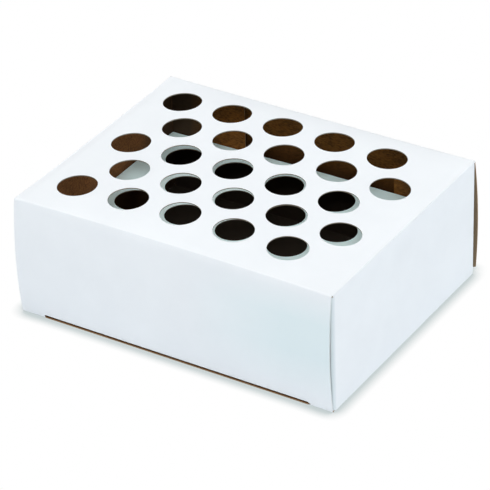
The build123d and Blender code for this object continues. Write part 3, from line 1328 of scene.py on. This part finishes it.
@dataclass
class PunchedLayout:
    """The flat layout of a panel that is punched at every tube place.

    Attributes:
        sizes: The rack's sizes.
        low_x: The panel's left edge.
        high_x: Its right edge.
        low_y: Its front edge.
        high_y: Its back edge.
        pitch_cells: Strips across one tube place.
        row_cells: Strips along one row.
    """

    sizes: RackSizes
    low_x: float
    high_x: float
    low_y: float
    high_y: float
    pitch_cells: int = 16
    row_cells: int = 12

    def cell(self) -> Layout:
        """Draw one tube place: a hole with rings that open out to a rectangle.

        Returns:
            The cell, round the origin.
        """
        s = self.sizes
        half_x, half_y = s.pitch / 2, s.row_step / 2
        xs = np.linspace(-half_x, half_x, self.pitch_cells + 1)[:-1]
        ys = np.linspace(-half_y, half_y, self.row_cells + 1)[:-1]
        border = [(x, -half_y) for x in xs] + [(half_x, y) for y in ys]
        border += [(-x, half_y) for x in xs] + [(-half_x, -y) for y in ys]
        outside = np.array(border)
        reach = np.linalg.norm(outside, axis=1)
        inside = outside / reach[:, None] * s.hole_radius
        gap = reach - s.hole_radius
        shares = [0 * gap, LIP / gap, *(share + 0 * gap for share in RING_SHARES), 1 + 0 * gap]
        rings = np.vstack([inside + (outside - inside) * share[:, None] for share in shares])
        n = len(outside)
        faces = [
            (k * n + i, (k + 1) * n + i, (k + 1) * n + (i + 1) % n, k * n + (i + 1) % n)
            for k in range(len(shares) - 1)
            for i in range(n)
        ]
        return Layout(rings, faces)

    @staticmethod
    def ruled(low: float, high: float, places: list[float], size: float, cells: int) -> list[float]:
        """Space stops in step with the cells over the tube places, and on to the panel's edges.

        Args:
            low: The panel's first edge.
            high: Its last edge.
            places: The tubes' middles.
            size: The width of one cell.
            cells: The strips across it.

        Returns:
            The stops in order.
        """
        first, last, step = min(places) - size / 2, max(places) + size / 2, size / cells
        middle = [first + step * i for i in range(round((last - first) / step) + 1)]
        before, after = stops(low, first, step, lips=False), stops(last, high, step, lips=False)
        return before[:-1] + middle + after[1:]

    def strips(self) -> Layout:
        """Draw what is left of the panel around the tube places.

        Returns:
            The strips, without the cells' rectangles.
        """
        s = self.sizes
        xs = self.ruled(self.low_x, self.high_x, [x for x, _ in s.places], s.pitch, self.pitch_cells)
        ys = self.ruled(self.low_y, self.high_y, [y for _, y in s.places], s.row_step, self.row_cells)
        whole = Layout.grid(xs, ys)
        kept = [face for face in whole.faces if not self.in_cell(whole.points[list(face)].mean(axis=0))]
        used = sorted({i for face in kept for i in face})
        number = {old: new for new, old in enumerate(used)}
        return Layout(whole.points[used], [tuple(number[i] for i in face) for face in kept])

    def in_cell(self, middle: np.ndarray) -> bool:
        """Say whether a point lies in some tube place's rectangle."""
        half = (self.sizes.pitch / 2, self.sizes.row_step / 2)
        return any(np.all(np.abs(middle - place) < half) for place in self.sizes.places)

    def build(self, material: bpy.types.Material) -> Layout:
        """Repeat the cell over the tube places and join it to the strips.

        Args:
            material: The finish that the Geometry Nodes tree sets.

        Returns:
            The whole panel's layout.
        """
        base = flat_object("tube_places", Layout(np.array(self.sizes.places), []))
        cell = flat_object("punched_cell", self.cell())
        strips = flat_object("panel_strips", self.strips())
        inputs = {"Cell": cell, "Strips": strips, "Weld": WELD, "Finish": material}
        mesh = grow(base, punching_tree(), inputs)
        points = np.array([v.co[:2] for v in mesh.vertices])
        faces = [tuple(p.vertices) for p in mesh.polygons]
        for spent in (cell, strips):
            bpy.data.objects.remove(spent)
        bpy.data.meshes.remove(mesh)
        return Layout(points, faces)


def punching_tree() -> bpy.types.GeometryNodeTree:
    """Build the tree that repeats a punched cell on points and welds it to the strips.

    Returns:
        The tree, with the inputs Cell, Strips, Weld and Finish.
    """
    inputs = {"Places": "Geometry", "Cell": "Object", "Strips": "Object"}
    inputs |= {"Weld": "Float", "Finish": "Material"}
    tree = pattern_tree("punched_panel", inputs, "Panel")
    make = tree.nodes.new
    start, end = make("NodeGroupInput"), make("NodeGroupOutput")
    cell, strips = make("GeometryNodeObjectInfo"), make("GeometryNodeObjectInfo")
    points, copies = make("GeometryNodeMeshToPoints"), make("GeometryNodeInstanceOnPoints")
    join, real = make("GeometryNodeJoinGeometry"), make("GeometryNodeRealizeInstances")
    weld, finish = make("GeometryNodeMergeByDistance"), make("GeometryNodeSetMaterial")
    join_up(tree, (
        (start, "Places", points, "Mesh"),
        (start, "Cell", cell, "Object"),
        (start, "Strips", strips, "Object"),
        (points, "Points", copies, "Points"),
        (cell, "Geometry", copies, "Instance"),
        (copies, "Instances", join, "Geometry"),
        (strips, "Geometry", join, "Geometry"),
        (join, "Geometry", real, "Geometry"),
        (real, "Geometry", weld, "Geometry"),
        (start, "Weld", weld, "Distance"),
        (weld, "Geometry", finish, "Geometry"),
        (start, "Finish", finish, "Material"),
        (finish, "Geometry", end, "Panel"),
    ))
    return tree


def bead_tree() -> bpy.types.GeometryNodeTree:
    """Build the tree that lays a grid of flattened beads.

    Returns:
        The tree, with inputs for the strip's size, the beads and their finish.
    """
    inputs = {"Strip": "Geometry", "Length": "Float", "Width": "Float", "Columns": "Int", "Rows": "Int"}
    inputs |= {"Radius": "Float", "Flatness": "Float", "Finish": "Material"}
    tree = pattern_tree("glue_beads", inputs, "Beads")
    make = tree.nodes.new
    start, end = make("NodeGroupInput"), make("NodeGroupOutput")
    grid, points = make("GeometryNodeMeshGrid"), make("GeometryNodeMeshToPoints")
    bead, copies = make("GeometryNodeMeshIcoSphere"), make("GeometryNodeInstanceOnPoints")
    size, real = make("ShaderNodeCombineXYZ"), make("GeometryNodeRealizeInstances")
    smooth, finish = make("GeometryNodeSetShadeSmooth"), make("GeometryNodeSetMaterial")
    bead.inputs["Subdivisions"].default_value = BEAD_DIVISIONS
    size.inputs["X"].default_value = size.inputs["Y"].default_value = 1.0
    join_up(tree, (
        (start, "Length", grid, "Size X"),
        (start, "Width", grid, "Size Y"),
        (start, "Columns", grid, "Vertices X"),
        (start, "Rows", grid, "Vertices Y"),
        (grid, "Mesh", points, "Mesh"),
        (points, "Points", copies, "Points"),
        (start, "Radius", bead, "Radius"),
        (bead, "Mesh", copies, "Instance"),
        (start, "Flatness", size, "Z"),
        (size, "Vector", copies, "Scale"),
        (copies, "Instances", real, "Geometry"),
        (real, "Geometry", smooth, "Geometry"),
        (smooth, "Geometry", finish, "Geometry"),
        (start, "Finish", finish, "Material"),
        (finish, "Geometry", end, "Beads"),
    ))
    return tree


# ---------------------------------------------------------------- sub-assemblies


FOLDED = {"seams": seam((0.0, 1.0)), "fold": True}  # what every crease's sheet shares


def fit(piece: bpy.types.Object, body: str, node: str, slot: str) -> None:
    """Let a finished piece ride on a body and stand for its node.

    Args:
        piece: The piece's object.
        body: The body that it moves with.
        node: The CAD node that it stands for.
        slot: Not used.
    """
    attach(piece, body)
    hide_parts(node)
    log.info("%s rides on %s with %d faces", piece.name, body, len(piece.data.polygons))


@dataclass
class Sleeve:
    """The closed sleeve: top, front wall, bottom, riser, shelf and leg, with their creases.

    Attributes:
        form: The rack's surfaces.
        finishes: Its materials.
        body: The body that the sleeve rides on.
        sheets: Each sheet with its slot, in the order of the fold.
    """

    form: RackForm
    finishes: Finishes
    body: str = "rack"
    sheets: list[tuple[Sheet, str]] = field(default_factory=list)

    @property
    def bottom_face(self) -> Surface:
        """The white underside of the bottom panel."""
        return level(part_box("bottom_panel")[0].z)

    def add(self, name: str, slot: str, layout: Layout, surface: Surface, **options: object) -> None:
        """Add one sheet to the sleeve."""
        sheet = Sheet(name, layout, surface, self.form.sizes.board, **options)
        self.sheets.append((sheet, slot))

    def top(self) -> None:
        """Lay out the punched top."""
        s = self.form.sizes
        punched = PunchedLayout(s, -s.bend_x, s.bend_x, s.front_bend, s.back_bend)
        layout = punched.build(self.finishes.coat)
        seams = seam((s.front_bend, s.back_bend), (-s.bend_x, s.bend_x))
        self.add("top_panel", "outer_board", layout, self.form.top, seams=seams, cut=self.finishes.punched)

    def top_creases(self) -> None:
        """Fold the top over to the two long walls."""
        s, form = self.form.sizes, self.form
        layout = Layout.grid(stops(-s.wall_x, s.wall_x, STEP), ACROSS)
        front = bridge(Edge(form.front_wall, s.bend_z, 1), Edge(form.top, s.front_bend, 1), s.reach)
        back = bridge(Edge(form.top, s.back_bend, 1), Edge(form.back_wall, s.bend_z, -1), s.reach)
        self.add("front_top_crease", "outer_board", layout, front, pale=True, **FOLDED)
        self.add("back_top_crease", "outer_board", layout, back, pale=True, **FOLDED)

    def front(self) -> None:
        """Make the front wall, with the slot along its lower edge."""
        s = self.form.sizes
        lean = s.slot_x + SLOT_SLANT
        xs = stops(-s.wall_x, -s.slot_x, STEP)[:-2] + [-s.slot_x - HAIR]
        xs += stops(-s.slot_x, s.slot_x, STEP)
        xs += [lean] + stops(lean, s.wall_x, STEP)[2:]
        layout = Layout.grid(xs, [*stops(0.0, ROLL_START, FRONT_SHARE, lips=False), *ROLL_STOPS])
        x, share = layout.points.T
        low = np.where((x > -s.slot_x - HAIR / 2) & (x < s.slot_x + HAIR), s.slot_top, s.crease)
        layout.points[:, 1] = low + (s.bend_z - low) * share
        # The front wall's coat carries painted shade on its right side.
        options = {"seams": seam((s.bend_z,)), "pale": True, "coat": self.finishes.front_coat}
        self.add("front_wall", "outer_board", layout, self.form.front_wall, **options)

    def feet(self) -> None:
        """Fold the two feet of the front wall under to the bottom."""
        s, form = self.form.sizes, self.form
        under = bridge(Edge(self.bottom_face, s.front_bend, -1), Edge(form.front_wall, s.crease, 1), s.reach)
        for side in Side:
            slant = SLOT_SLANT if side is Side.RIGHT else 0.0
            layout = Layout.grid(stops(s.slot_x, s.wall_x, STEP), ACROSS)
            x, t = layout.points.T
            layout.points[:, 0] = x + slant * t * (s.wall_x - x) / s.foot_length
            if side is Side.LEFT:
                layout.points[:, 0] *= -1
                layout.faces = [face[::-1] for face in layout.faces]
            self.add(f"front_{side.label}_foot", "outer_board", layout, under, **FOLDED)

    def bottom(self) -> None:
        """Make the bottom, whose front edge shows in the slot."""
        s = self.form.sizes
        low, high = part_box("bottom_panel")
        xs = stops(low.x, -s.slot_x, STEP)[:-2] + [-s.slot_x - HAIR]
        xs += stops(-s.slot_x, s.slot_x, STEP) + [s.slot_x + HAIR]
        xs += stops(s.slot_x, high.x, STEP)[2:]
        ys = [s.front_bend, *stops(s.front_bend, high.y, BASE_STEP, lips=False)[1:]]
        layout = Layout.grid(xs, ys)
        lip = (np.abs(layout.points[:, 0]) <= s.slot_x) & seam((s.front_bend,))(layout.points)
        layout.points[lip, 1] = low.y
        # The bottom's brown face is drawn dark as painted shade.
        options = {"flipped": True, "seams": seam((high.y,)), "kraft": self.finishes.deep_kraft}
        self.add("bottom_panel", "base_board", layout, self.bottom_face, **options)

    def inside(self) -> None:
        """Fold the sheet up the riser, over the shelf and down the leg to its foot."""
        s, form = self.form.sizes, self.form
        riser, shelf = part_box("shelf_riser"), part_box("shelf_panel")
        leg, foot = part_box("shelf_leg"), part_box("leg_foot")
        xs = stops(-s.inner_x, s.inner_x, STEP)
        crease = Layout.grid(xs, ACROSS)
        rise = Layout.grid(xs, stops(riser[0].z, riser[1].z, STEP, lips=False))
        drop = Layout.grid(xs, stops(leg[0].z, leg[1].z, STEP, lips=False))
        sole = Layout.grid(xs, stops(foot[0].y, foot[1].y, STEP))
        punched = PunchedLayout(s, -s.inner_x, s.inner_x, shelf[0].y, shelf[1].y).build(self.finishes.coat)
        riser_face, leg_face, foot_face = upright(riser[1].y), upright(leg[0].y), level(foot[0].z)
        base = Edge(self.bottom_face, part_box("bottom_panel")[1].y, 1)
        low_bend = bridge(base, Edge(riser_face, riser[0].z, 1), s.reach)
        back_bend = bridge(Edge(riser_face, riser[1].z, 1), Edge(form.shelf, shelf[1].y, -1), s.reach)
        front_bend = bridge(Edge(form.shelf, shelf[0].y, -1), Edge(leg_face, leg[1].z, -1), s.reach)
        foot_bend = bridge(Edge(leg_face, leg[0].z, -1), Edge(foot_face, foot[0].y, 1), s.reach)
        # Painted shade: the lower chamber's brown faces are drawn dark.
        dark = {"kraft": self.finishes.deep_kraft}
        # The shelf carries the glowing, cool-tinted coat: painted light and painted shade.
        cool = {**dark, "coat": self.finishes.shelf_coat, "cut": self.finishes.punched}
        turned = {**FOLDED, "flipped": True}
        riser_seams, leg_seams = seam((riser[0].z, riser[1].z)), seam((leg[0].z, leg[1].z))
        shelf_seams, foot_seams = seam((shelf[0].y, shelf[1].y)), seam((foot[0].y,))
        self.add("bottom_back_crease", "base_board", crease, low_bend, **turned, **dark)
        self.add("shelf_riser", "base_board", rise, riser_face, flipped=True, seams=riser_seams, **dark)
        self.add("shelf_back_crease", "shelf_board", crease, back_bend, **turned, **cool)
        self.add("shelf_panel", "shelf_board", punched, form.shelf, seams=shelf_seams, **cool)
        self.add("shelf_front_crease", "shelf_board", crease, front_bend, **turned, **cool)
        self.add("shelf_leg", "shelf_board", drop, leg_face, seams=leg_seams, **dark)
        self.add("leg_foot_crease", "shelf_board", crease, foot_bend, **turned, **dark)
        self.add("leg_foot", "shelf_board", sole, foot_face, flipped=True, seams=foot_seams, **dark)

    def back(self) -> None:
        """Hang the back wall from its crease."""
        s = self.form.sizes
        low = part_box("back_wall")[0].z
        zs = [*stops(low, s.bend_z, BACK_STEP)[:-2], s.bend_z]
        layout = Layout.grid(stops(-s.wall_x, s.wall_x, STEP), zs)
        x, z = layout.points.T
        near = np.clip((np.abs(x) - s.wall_x) / TRIM_LENGTH + 1, 0, 1)
        layout.points[:, 1] = z + CORNER_TRIM * near**2 * (s.bend_z - z) / (s.bend_z - low)
        # The back wall's brown face carries painted shade.
        options = {"flipped": True, "seams": seam((s.bend_z,)), "kraft": self.finishes.golden_kraft}
        self.add("back_wall", "outer_board", layout, self.form.back_wall, **options)

    def build(self) -> None:
        """Make every sheet of the sleeve and fit it."""
        for make in (self.top, self.top_creases, self.front, self.feet, self.bottom, self.inside, self.back):
            make()
        for sheet, slot in self.sheets:
            fit(sheet.build(self.finishes), self.body, sheet.name, slot)


@dataclass
class EndFlap:
    """One end wall with its two dust flaps, and the top crease that it swings on.

    Attributes:
        form: The rack's surfaces.
        finishes: Its materials.
        side: Which end.
    """

    form: RackForm
    finishes: Finishes
    side: Side

    @property
    def body(self) -> str:
        """The body that this end rides on."""
        return f"{self.side.label}_end"

    def make(self, name: str, layout: Layout, surface: Surface, **options: object) -> bpy.types.Object:
        """Build one sheet of this end."""
        return Sheet(name, layout, surface, self.form.sizes.board, **options).build(self.finishes)

    def wall(self) -> None:
        """Make the end wall."""
        name = f"{self.side.label}_end_wall"
        low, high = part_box(name)
        fine = [high.z - END_ROLL * share for share in np.linspace(1.0, 0.0, END_ROLL_STOPS)]
        zs = [*stops(low.z, high.z - END_ROLL, STEP)[:-2], *fine]
        layout = Layout.grid(stops(low.y, high.y, STEP, lips=False), zs)
        surface, flipped = self.form.end_wall(self.side), self.side is Side.LEFT
        seams = seam((high.z,), (low.y, high.y))
        # The end wall's coat carries painted shade along its front fold.
        piece = self.make(name, layout, surface, flipped=flipped, seams=seams, coat=self.finishes.end_coat)
        fit(piece, self.body, name, "outer_board")

    def flap(self, wall: Long) -> None:
        """Make one dust flap and the fold that carries it.

        Args:
            wall: The long wall that the flap lies behind.
        """
        s, sign = self.form.sizes, self.side.value
        name = f"{self.side.label}_{wall.label}_flap"
        low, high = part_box(name)
        outer_y = low.y if wall is Long.FRONT else high.y
        bend_y = outer_y + wall.value * s.crease
        span = high.x - low.x
        flipped = (self.side is Side.RIGHT) != (wall is Long.FRONT)
        most = FLAP_BOW if wall is Long.FRONT else 0.0

        def bow(z: np.ndarray) -> np.ndarray:
            """Say how far the fold bellies out at a height."""
            return most * arch(np.clip((z - low.z) / (high.z - low.z), 0, 1))

        def fold_face(z: np.ndarray, t: np.ndarray) -> np.ndarray:
            """Place the fold.

            Args:
                z: Heights.
                t: Shares of the way round it, from the flap to the end wall.

            Returns:
                One point for each pair.
            """
            turn = t * math.pi / 2
            x = s.bend_x + s.crease * np.cos(turn)
            return stack(sign * x, bend_y - wall.value * (s.crease + bow(z)) * np.sin(turn), z)

        def flap_face(z: np.ndarray, reach: np.ndarray) -> np.ndarray:
            """Place the flap.

            Args:
                z: Heights.
                reach: Distances from the fold.

            Returns:
                One point for each pair.
            """
            ease = np.clip(1 - reach / span, 0, 1) ** 2
            return stack(sign * (s.bend_x - reach), outer_y - wall.value * bow(z) * ease, z)

        fold = Layout.grid(stops(low.z, high.z, STEP), ACROSS)
        crease = f"{name}_crease"
        # The fold takes the end walls' coat, with its painted shade near the front.
        piece = self.make(crease, fold, fold_face, flipped=flipped, coat=self.finishes.end_coat, **FOLDED)
        fit(piece, self.body, crease, "outer_board")
        shares = stops(0.0, 1.0, FLAP_SHARE, lips=False)
        layout = Layout.grid(shares, [0.0, *stops(0.0, span, STEP)[2:]])
        share, reach = layout.points.T
        bottom = low.z + (self.corner_height(name) - low.z) * reach / span
        layout.points[:, 0] = bottom + (high.z - bottom) * share
        # The back flaps' brown face carries painted shade, darker towards the corners.
        kraft = self.finishes.flap_kraft if wall is Long.BACK else None
        piece = self.make(name, layout, flap_face, flipped=flipped, seams=seam((0.0,)), kraft=kraft)
        fit(piece, self.body, name, "outer_board")

    @staticmethod
    def corner_height(name: str) -> float:
        """Find the free lower corner of a dust flap.

        Args:
            name: The flap's node.

        Returns:
            The corner's height.
        """
        corners = [v.co for v in frame["nodes"][name].data.vertices]
        free = min(abs(c.x) for c in corners)
        return min(c.z for c in corners if abs(c.x) < free + CORNER)

    def crease(self) -> None:
        """Make the top crease between the top and the end wall."""
        s, form, sign = self.form.sizes, self.form, self.side.value
        name = f"{self.side.label}_top_crease"
        start = sign * s.bend_x

        def top_by_x(y: np.ndarray, x: np.ndarray) -> np.ndarray:
            """Place the top by its two coordinates in the other order."""
            return form.top(x, y)

        surface = bridge(Edge(top_by_x, start, sign), Edge(form.end_wall(self.side), s.bend_z, -1), s.reach)
        layout = Layout.grid(stops(s.front_bend, s.back_bend, STEP), ACROSS)
        piece = self.make(name, layout, surface, flipped=self.side is Side.RIGHT, **FOLDED)
        self.body
        sign * s.end_x
        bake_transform(piece)
        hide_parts(name)
        log.info("%s bends between rack and %s", name, self.body)

    def build(self) -> None:
        """Make the whole end."""
        self.wall()
        for wall in Long:
            self.flap(wall)
        self.crease()


@dataclass
class GlueLines:
    """The set glue under the leg's foot and behind the riser.

    Attributes:
        finishes: The rack's materials.
        spacing: The distance between beads.
        bead_share: A bead's radius, as a share of it.
    """

    finishes: Finishes
    spacing: float = 3.4 * MM
    bead_share: float = 0.56

    def build(self) -> None:
        """Fill each glued strip with a row of pressed beads."""
        for node in ("leg_foot_glue", "back_wall_glue"):
            fit(self.beads(node, *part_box(node)), "rack", node, "glue")

    def beads(self, name: str, low: Vector, high: Vector) -> bpy.types.Object:
        """Repeat a flattened bead over the strip with Geometry Nodes.

        Args:
            name: The strip's node.
            low: The strip's lowest corner.
            high: Its highest corner.

        Returns:
            The beads as one plain mesh.
        """
        size = high - low
        thin = min(range(3), key=lambda axis: size[axis])
        length, width = (size[axis] for axis in range(3) if axis != thin)
        radius = self.spacing * self.bead_share
        inputs = {
            "Length": length - self.spacing,
            "Width": width - self.spacing,
            "Columns": max(2, int(length / self.spacing)),
            "Rows": max(2, int(width / self.spacing)),
            "Radius": radius,
            "Flatness": size[thin] / (2 * radius),
            "Finish": self.finishes.glue,
        }
        mesh = grow(flat_object(name, Layout(np.zeros((1, 2)), [])), bead_tree(), inputs)
        turn = Matrix.Identity(4) if thin == 2 else Matrix.Rotation(math.pi / 2, 4, "X")
        mesh.transform(Matrix.Translation((low + high) / 2) @ turn)
        return placed(name + "_beads", mesh)


# ---------------------------------------------------------------- studio


def heading(azimuth: float, elevation: float) -> Vector:
    """Give the direction from the rack at an azimuth from its front and an elevation."""
    flat = math.cos(elevation)
    return Vector((flat * math.sin(azimuth), -flat * math.cos(azimuth), math.sin(elevation)))


def facing(away: Vector) -> Matrix:
    """Turn a camera or a lamp that stands in a direction so that it looks back."""
    return away.to_track_quat("Z", "Y").to_matrix().to_4x4()


@dataclass(frozen=True)
class Softbox:
    """One far, broad lamp.

    Attributes:
        azimuth: Where it stands, in degrees from the rack's front.
        elevation: How high, in degrees.
        strength: How strongly it lights.
        tint: Its colour.
    """

    azimuth: float
    elevation: float
    strength: float
    tint: tuple[float, float, float] = (1.0, 1.0, 1.0)

    def build(self, spread: float) -> None:
        """Hang the lamp.

        Args:
            spread: The angle that the lamp fills, seen from the rack.
        """
        data = bpy.data.lights.new("softbox", "SUN")
        data.energy, data.angle, data.color = self.strength, spread, self.tint
        made = bpy.data.objects.new("softbox", data)
        made.matrix_world = facing(heading(math.radians(self.azimuth), math.radians(self.elevation)))
        bpy.context.scene.collection.objects.link(made)


@dataclass(frozen=True)
class Studio:
    """A pale sweep, a plain room and a ring of soft lamps.

    Attributes:
        azimuth, elevation, roll: The camera's angles.
        distance, aim: How far it stands from the point that it looks at, and that point.
        lens, sensor, clip: Its lens, its sensor's width and how far it sees.
        room, room_strength: The room's even light.
        spread: The angle that each lamp fills, seen from the rack.
        lamps: The lamps.
        floor_half, floor_stops: Half the floor's width, and its stops.
        floor_colour: The floor's colour for the light that it bounces.
        shade, least_open: The contact shadow's colour, and the least light that it keeps.
        contact: How near the rack the shadow starts.
        shadow_samples: How finely it is sampled.
        margin, soft: The size and the soft edge of the painted shadow patch on the floor under the corner.
    """

    azimuth: float = math.radians(32.713)
    elevation: float = math.radians(32.099)
    roll: float = math.radians(-1.855)
    distance: float = 2.1667
    aim: tuple[float, float, float] = (0.00015, -0.00605, 0.04325)
    lens: float = 216.69
    sensor: float = 36.0
    clip: float = 20.0
    room: Colour = (0.985, 1.0, 1.0, 1.0)
    room_strength: float = 0.43
    spread: float = math.radians(22)
    lamps: tuple[Softbox, ...] = (
        Softbox(33, 55, 0.82),
        Softbox(33, 72, 0.31),
        Softbox(100, 20, 0.33, (0.93, 1.01, 1.06)),
        Softbox(100, 55, 0.40, (0.98, 1.0, 1.01)),
        Softbox(-75, 20, 0.20),
        Softbox(-75, 40, 0.70),
        Softbox(180, 40, 0.20),
    )
    floor_half: float = 6.0
    floor_stops: int = 13
    floor_colour: Colour = (0.86, 0.905, 0.945, 1.0)
    shade: Colour = (0.04, 0.18, 0.19, 1.0)
    least_open: float = 0.54
    contact: float = 10.5 * MM
    shadow_samples: int = 16
    margin: float = 5 * MM
    soft: float = 0.3 * MM

    def camera(self) -> None:
        """Set the camera."""
        data = bpy.data.cameras.new("camera")
        data.lens, data.sensor_width, data.clip_end = self.lens, self.sensor, self.clip
        made = bpy.data.objects.new("camera", data)
        bpy.context.scene.collection.objects.link(made)
        away = heading(self.azimuth, self.elevation)
        place = Matrix.Translation(Vector(self.aim) + away * self.distance)
        made.matrix_world = place @ facing(away) @ Matrix.Rotation(self.roll, 4, "Z")
        bpy.context.scene.camera = made

    def floor(self) -> None:
        """Lay the floor: it bounces light, and to the eye it is white with a narrow contact shadow."""
        ruled = np.linspace(-self.floor_half, self.floor_half, self.floor_stops).tolist()
        made = flat_object("floor", Layout.grid(ruled, ruled))
        r = Recipe.material("studio_floor")
        path = r.node("LightPath")
        rays = [r.wire(path, f"Is {kind} Ray") for kind in ("Camera", "Glossy", "Transmission")]
        seen = sum(rays[1:], rays[0])
        settings = {"samples": self.shadow_samples}
        clear = r.wire(r.node("AmbientOcclusion", settings, Distance=self.contact), "AO")
        shaded = r.mix(r.math("MAXIMUM", clear, self.least_open), self.shade, WHITE)
        bounce = r.wire(r.node("BsdfDiffuse", Color=self.floor_colour))
        # Painted shadow: the floor is drawn black under the left end's back corner.
        glow = r.wire(r.node("Emission", Color=r.mix(self.under_corner(r), shaded, BLACK)))
        both = r.node("MixShader", _0=r.span(seen, 0.0, 1.0), _1=bounce, _2=glow)
        r.node("OutputMaterial", Surface=r.wire(both))
        made.data.materials.append(r.owner)

    def under_corner(self, r: Recipe) -> Wire:
        """Give 1 where a painted shadow darkens the floor under the left end's back corner, and 0 elsewhere.

        Args:
            r: The floor's recipe.

        Returns:
            The share of darkness.
        """
        x, y, _ = r.axes()
        left, right = cad_low.x - 3 * self.soft, cad_low.x + self.margin
        near, far = cad_high.y - 3 * self.margin, cad_high.y - self.margin
        along = r.span(x, left, left + 2 * self.soft) * r.span(x, right, right - self.soft)
        return along * r.span(y, far, far - self.soft) * r.span(y, near, near + self.soft)

    def world(self) -> None:
        """Light the room evenly, and show it white behind the rack."""
        bpy.context.scene.world = bpy.data.worlds.new("room")
        r = Recipe(bpy.context.scene.world)
        lit = r.wire(r.node("Background", Color=self.room, Strength=self.room_strength))
        seen = r.wire(r.node("Background", Color=WHITE, Strength=1.0))
        both = r.node("MixShader", _0=r.wire(r.node("LightPath"), "Is Camera Ray"), _1=lit, _2=seen)
        r.node("OutputWorld", Surface=r.wire(both))

    def build(self) -> None:
        """Set up the studio and the plain view transform."""
        self.camera()
        self.floor()
        self.world()
        for lamp in self.lamps:
            lamp.build(self.spread)
        bpy.context.scene.view_settings.view_transform = "Standard"


def main() -> None:
    """Build the rack and its studio."""
    logging.basicConfig(level=logging.INFO, format="%(name)s: %(message)s")
    Studio().build()
    finishes = Finishes.build()
    form = RackForm(RackSizes.from_frame())
    Sleeve(form, finishes).build()
    for side in Side:
        EndFlap(form, finishes, side).build()
    GlueLines(finishes).build()


if __name__ == "__main__":
    main()
